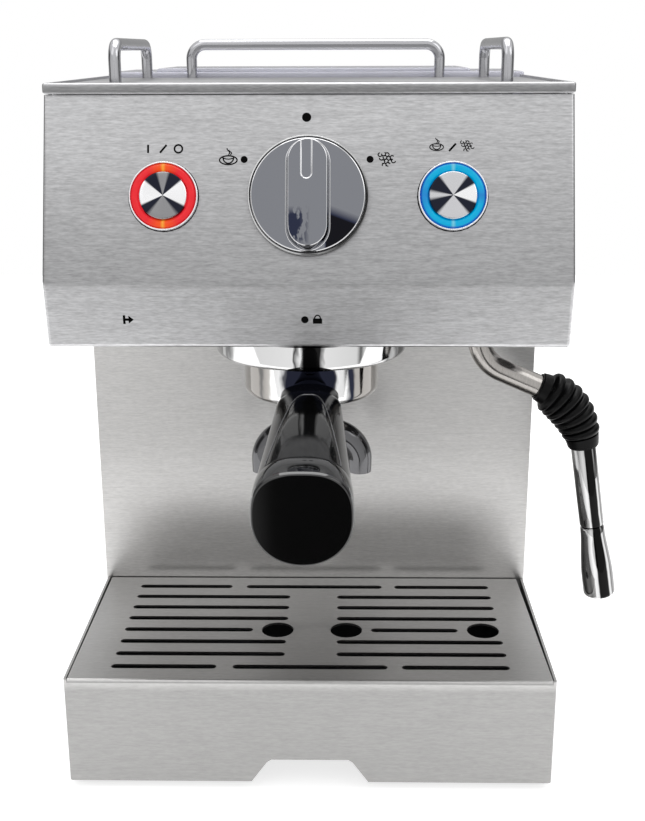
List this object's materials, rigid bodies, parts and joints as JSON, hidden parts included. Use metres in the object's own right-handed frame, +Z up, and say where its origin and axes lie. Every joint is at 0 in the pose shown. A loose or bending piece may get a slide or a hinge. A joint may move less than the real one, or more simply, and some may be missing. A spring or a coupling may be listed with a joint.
{
  "type": "espresso machine",
  "caption": "compact pump espresso machine: sloping brushed steel control panel, locking portafilter, swivelling steam wand, slotted drip tray drawer, cup rails and rear water tank",
  "frame": {"origin": "on the table, under the centre of the machine's bounding box at rest", "axes": "+Z up; the control panel and the portafilter handle face -Y; +X is to the right seen from the front, the side of the steam wand"},
  "size_m": [0.2792, 0.3856, 0.3583],
  "materials": {
    "brushed_steel": "horizontally brushed stainless sheet",
    "chrome": "polished chrome",
    "wand_steel": "polished stainless tube",
    "spun_steel": "spun finish",
    "knob_mirror": "smoked chrome",
    "black_gloss": "black gloss moulding",
    "black_plastic": "satin black moulding",
    "rubber": "black rubber",
    "red_light": "lit translucent red ring",
    "blue_light": "lit translucent blue ring",
    "tank_plastic": "translucent tinted plastic",
    "brass": "machined",
    "aluminium": "cast and machined",
    "board": "circuit board",
    "hose": "silicone hose"
  },
  "bodies": {
    "machine": {"base_plate": "black_plastic", "foot_front_left": "rubber", "foot_front_right": "rubber", "foot_rear_left": "rubber", "foot_rear_right": "rubber", "side_panel_left": "brushed_steel", "side_panel_right": "brushed_steel", "control_panel": "brushed_steel", "top_lid": "brushed_steel", "column_panel": "brushed_steel", "head_floor": "black_plastic", "rear_panel": "black_plastic", "cord_gland": "rubber", "tank_bay": "black_plastic", "cup_rail_left": "chrome", "cup_rail_right": "chrome", "cup_rail_rear": "chrome", "brew_collar": "chrome", "brew_head": "aluminium", "group_gasket": "rubber", "shower_screen": "spun_steel", "boiler": "aluminium", "steam_valve": "brass", "pump": "aluminium", "pump_mount": "rubber", "pressure_valve": "brass", "control_board": "board", "suction_hose": "hose", "pressure_hose": "hose", "steam_hose": "hose", "valve_seat": "black_plastic", "power_bezel": "chrome", "mode_bezel": "chrome", "power_light_ring": "red_light", "mode_light_ring": "blue_light", "wand_swivel_nut": "chrome"},
    "knob": {"selector_knob": "knob_mirror", "knob_trim_ring": "chrome", "knob_shaft": "aluminium"},
    "power_button": {"power_button": "spun_steel"},
    "mode_button": {"mode_button": "spun_steel"},
    "portafilter": {"portafilter_cup": "chrome", "filter_basket": "spun_steel", "twin_spout": "chrome", "handle_ferrule": "black_gloss", "handle_grip": "black_gloss", "handle_end_cap": "black_gloss"},
    "steam_wand": {"wand_pipe": "wand_steel", "wand_bellows": "rubber", "wand_sleeve": "chrome", "wand_tip_tube": "wand_steel"},
    "nozzle": {"frothing_nozzle": "chrome"},
    "drawer": {"drip_pan": "black_plastic"},
    "tray_cover": {"drip_tray_cover": "brushed_steel"},
    "tank": {"water_tank": "tank_plastic", "tank_valve": "black_plastic"},
    "tank_lid": {"tank_lid": "tank_plastic"}
  },
  "joints": [
    {"name": "knob_turn", "type": "hinge", "parent": "machine", "child": "knob", "pos_m": [-0.01875, -0.07983, 0.28885], "axis": [0, -0.9502, 0.3117], "range_deg": [-60, 60]},
    {"name": "power_press", "type": "slide", "parent": "machine", "child": "power_button", "axis": [0, 0.9502, -0.3117], "range_m": [0, 0.0025], "stiffness_N_per_m": 400},
    {"name": "mode_press", "type": "slide", "parent": "machine", "child": "mode_button", "axis": [0, 0.9502, -0.3117], "range_m": [0, 0.0025], "stiffness_N_per_m": 400},
    {"name": "portafilter_turn", "type": "hinge", "parent": "machine", "child": "portafilter", "pos_m": [-0.01875, -0.04025, 0.2169], "axis": [0, 0, 1], "range_deg": [-55, 0]},
    {"name": "wand_swing", "type": "hinge", "parent": "machine", "child": "steam_wand", "pos_m": [0.06425, -0.05025, 0.2205], "axis": [0, 0, 1], "range_deg": [-95, 30]},
    {"name": "nozzle_pull", "type": "slide", "parent": "steam_wand", "child": "nozzle", "axis": [0.1612, 0, -0.9869], "range_m": [0, 0.03]},
    {"name": "drawer_slide", "type": "slide", "parent": "machine", "child": "drawer", "axis": [0, -1, 0], "range_m": [0, 0.11]},
    {"name": "cover_lift", "type": "slide", "parent": "drawer", "child": "tray_cover", "axis": [0, 0, 1], "range_m": [0, 0.07]},
    {"name": "tank_lift", "type": "slide", "parent": "machine", "child": "tank", "axis": [0, 0, 1], "range_m": [0, 0.24]},
    {"name": "tank_lid_open", "type": "hinge", "parent": "tank", "child": "tank_lid", "pos_m": [-0.01875, 0.18915, 0.3342], "axis": [-1, 0, 0], "range_deg": [0, 95]}
  ]
}
